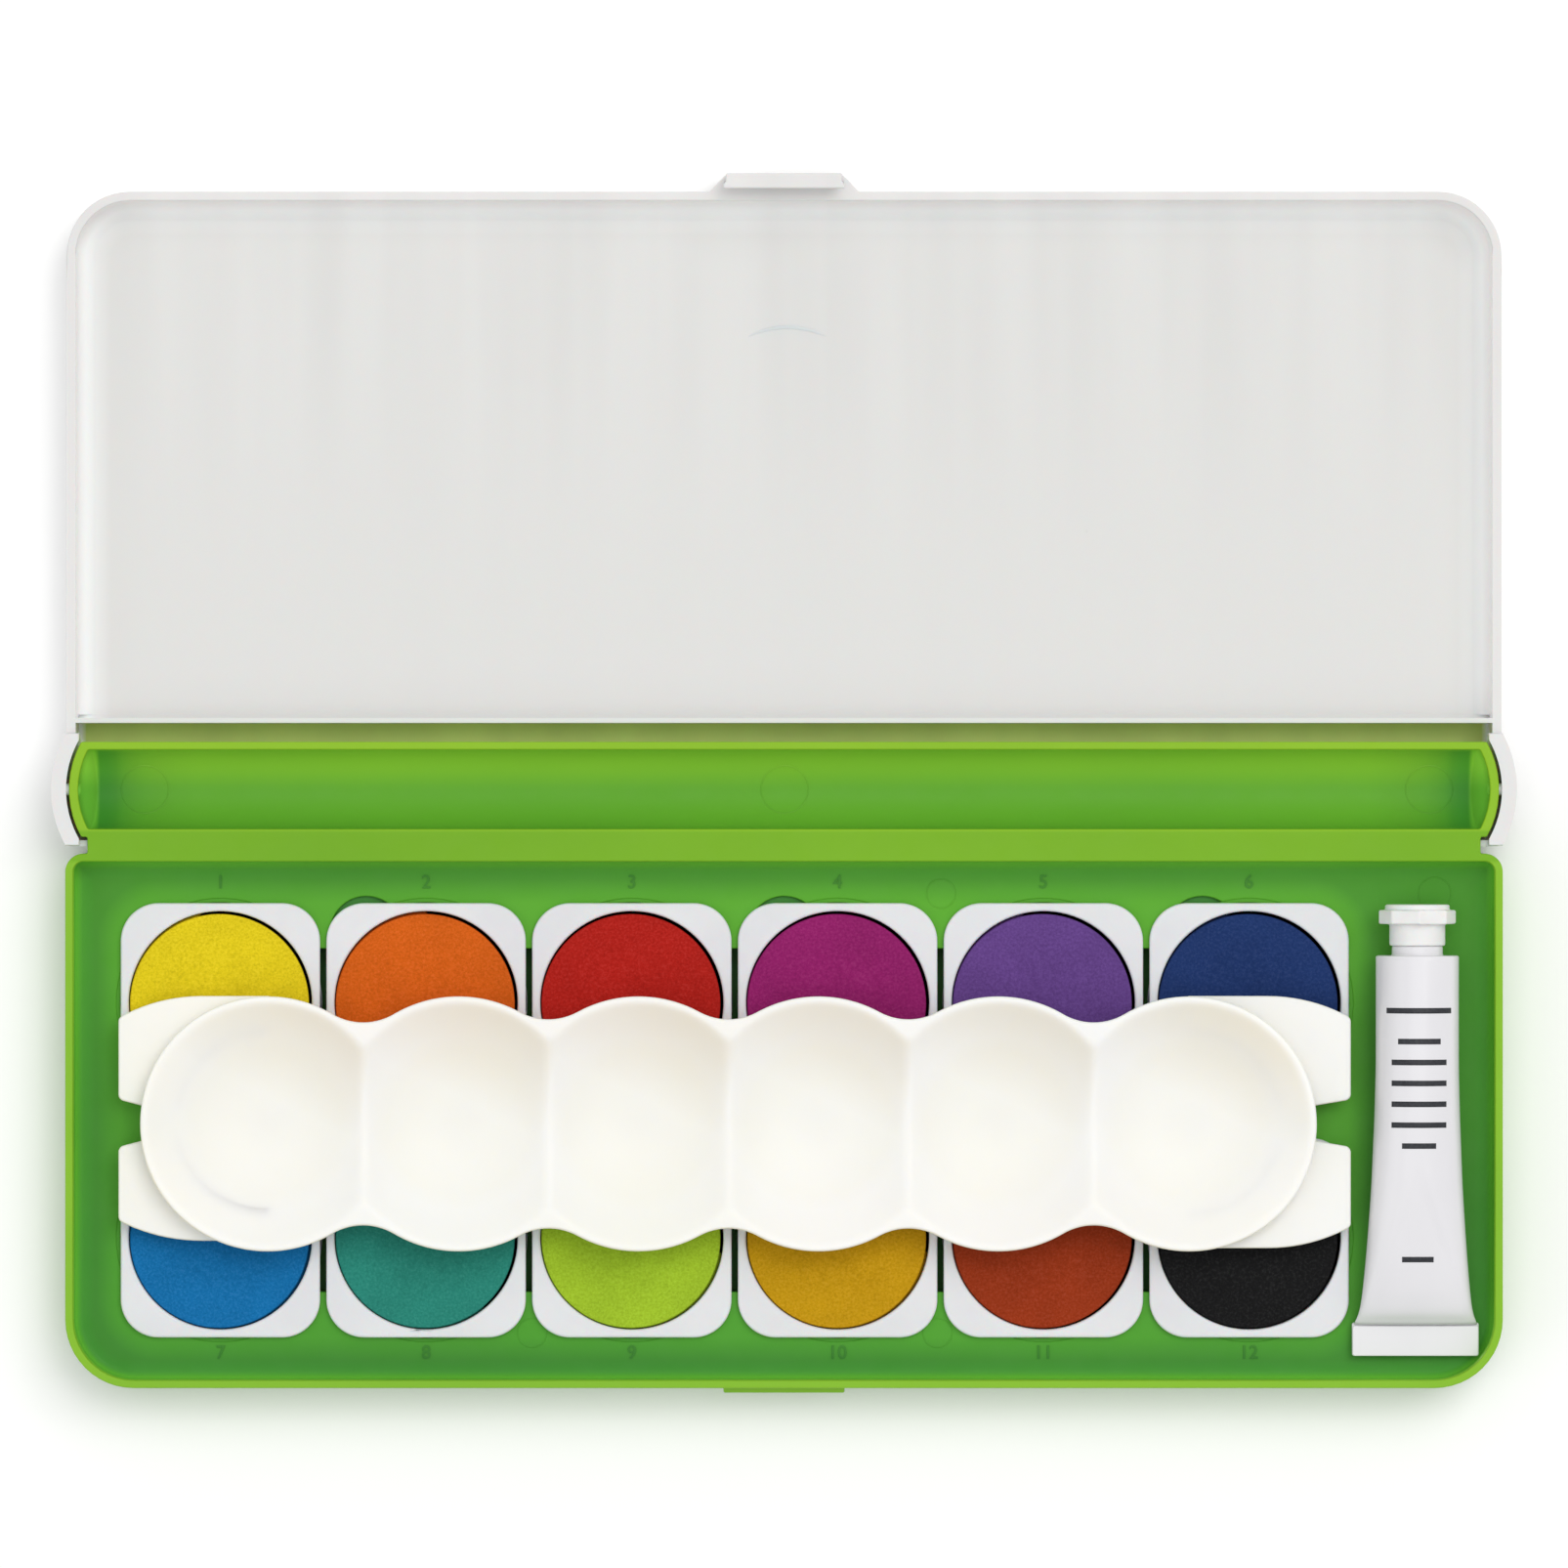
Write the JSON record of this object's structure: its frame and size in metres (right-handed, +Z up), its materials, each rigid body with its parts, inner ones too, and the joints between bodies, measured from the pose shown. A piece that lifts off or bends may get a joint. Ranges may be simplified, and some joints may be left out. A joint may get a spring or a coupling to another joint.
{
  "type": "gouache paint set box",
  "caption": "Flat hinged box with round colour tablets in square pans, a loose palette of joined mixing bowls, a small paint tube and a brush trough round the hinge.",
  "frame": {"origin": "on the table under the middle of the open box's outline", "axes": "+X along the hinge to the right, +Y from the tray towards the open lid, +Z up"},
  "size_m": [0.242, 0.2012, 0.0209],
  "materials": {
    "green_plastic": "satin moulded polystyrene, dyed green through",
    "lid_plastic": "satin moulded polystyrene, white",
    "palette_plastic": "smooth moulded polystyrene, warm white",
    "pan_plastic": "moulded polypropylene, slightly translucent white",
    "tube_film": "white lacquered tube film with soft creases",
    "cap_plastic": "white moulded cap",
    "paint_yellow": "dry pressed opaque watercolour, powdery matte, yellow",
    "paint_orange": "dry pressed opaque watercolour, powdery matte, orange",
    "paint_vermilion": "dry pressed opaque watercolour, powdery matte, vermilion",
    "paint_magenta": "dry pressed opaque watercolour, powdery matte, magenta",
    "paint_violet": "dry pressed opaque watercolour, powdery matte, violet",
    "paint_ultramarine": "dry pressed opaque watercolour, powdery matte, ultramarine",
    "paint_cyan_blue": "dry pressed opaque watercolour, powdery matte, cyan blue",
    "paint_blue_green": "dry pressed opaque watercolour, powdery matte, blue green",
    "paint_yellow_green": "dry pressed opaque watercolour, powdery matte, yellow green",
    "paint_ochre": "dry pressed opaque watercolour, powdery matte, ochre",
    "paint_burnt_sienna": "dry pressed opaque watercolour, powdery matte, burnt sienna",
    "paint_black": "dry pressed opaque watercolour, powdery matte, black"
  },
  "bodies": {
    "base": {"base_tray": "green_plastic"},
    "lid": {"lid": "lid_plastic"},
    "palette": {"palette": "palette_plastic"},
    "tube": {"tube_sleeve": "tube_film", "tube_shoulder": "tube_film"},
    "cap": {"tube_cap": "cap_plastic"},
    "pan_yellow": {"pan_yellow": "pan_plastic", "paint_yellow": "paint_yellow"},
    "pan_orange": {"pan_orange": "pan_plastic", "paint_orange": "paint_orange"},
    "pan_vermilion": {"pan_vermilion": "pan_plastic", "paint_vermilion": "paint_vermilion"},
    "pan_magenta": {"pan_magenta": "pan_plastic", "paint_magenta": "paint_magenta"},
    "pan_violet": {"pan_violet": "pan_plastic", "paint_violet": "paint_violet"},
    "pan_ultramarine": {"pan_ultramarine": "pan_plastic", "paint_ultramarine": "paint_ultramarine"},
    "pan_cyan_blue": {"pan_cyan_blue": "pan_plastic", "paint_cyan_blue": "paint_cyan_blue"},
    "pan_blue_green": {"pan_blue_green": "pan_plastic", "paint_blue_green": "paint_blue_green"},
    "pan_yellow_green": {"pan_yellow_green": "pan_plastic", "paint_yellow_green": "paint_yellow_green"},
    "pan_ochre": {"pan_ochre": "pan_plastic", "paint_ochre": "paint_ochre"},
    "pan_burnt_sienna": {"pan_burnt_sienna": "pan_plastic", "paint_burnt_sienna": "paint_burnt_sienna"},
    "pan_black": {"pan_black": "pan_plastic", "paint_black": "paint_black"}
  },
  "joints": [
    {"name": "lid_hinge", "type": "hinge", "parent": "base", "child": "lid", "pos_m": [0, -0.00095, 0.0113], "axis": [1, 0, 0], "range_deg": [0, 180]},
    {"name": "palette_lift", "type": "slide", "parent": "base", "child": "palette", "axis": [0, 0, 1], "range_m": [0, 0.15]},
    {"name": "tube_lift", "type": "slide", "parent": "base", "child": "tube", "axis": [0, 0, 1], "range_m": [0, 0.12]},
    {"name": "cap_turn", "type": "hinge", "parent": "tube", "child": "cap", "pos_m": [0.10441, -0.0252, 0.01405], "axis": [0, 1, 0], "range_deg": [0, 540]},
    {"name": "pan_lift_yellow", "type": "slide", "parent": "base", "child": "pan_yellow", "axis": [0, 0, 1], "range_m": [0, 0.12]},
    {"name": "pan_lift_orange", "type": "slide", "parent": "base", "child": "pan_orange", "axis": [0, 0, 1], "range_m": [0, 0.12]},
    {"name": "pan_lift_vermilion", "type": "slide", "parent": "base", "child": "pan_vermilion", "axis": [0, 0, 1], "range_m": [0, 0.12]},
    {"name": "pan_lift_magenta", "type": "slide", "parent": "base", "child": "pan_magenta", "axis": [0, 0, 1], "range_m": [0, 0.12]},
    {"name": "pan_lift_violet", "type": "slide", "parent": "base", "child": "pan_violet", "axis": [0, 0, 1], "range_m": [0, 0.12]},
    {"name": "pan_lift_ultramarine", "type": "slide", "parent": "base", "child": "pan_ultramarine", "axis": [0, 0, 1], "range_m": [0, 0.12]},
    {"name": "pan_lift_cyan_blue", "type": "slide", "parent": "base", "child": "pan_cyan_blue", "axis": [0, 0, 1], "range_m": [0, 0.12]},
    {"name": "pan_lift_blue_green", "type": "slide", "parent": "base", "child": "pan_blue_green", "axis": [0, 0, 1], "range_m": [0, 0.12]},
    {"name": "pan_lift_yellow_green", "type": "slide", "parent": "base", "child": "pan_yellow_green", "axis": [0, 0, 1], "range_m": [0, 0.12]},
    {"name": "pan_lift_ochre", "type": "slide", "parent": "base", "child": "pan_ochre", "axis": [0, 0, 1], "range_m": [0, 0.12]},
    {"name": "pan_lift_burnt_sienna", "type": "slide", "parent": "base", "child": "pan_burnt_sienna", "axis": [0, 0, 1], "range_m": [0, 0.12]},
    {"name": "pan_lift_black", "type": "slide", "parent": "base", "child": "pan_black", "axis": [0, 0, 1], "range_m": [0, 0.12]}
  ]
}
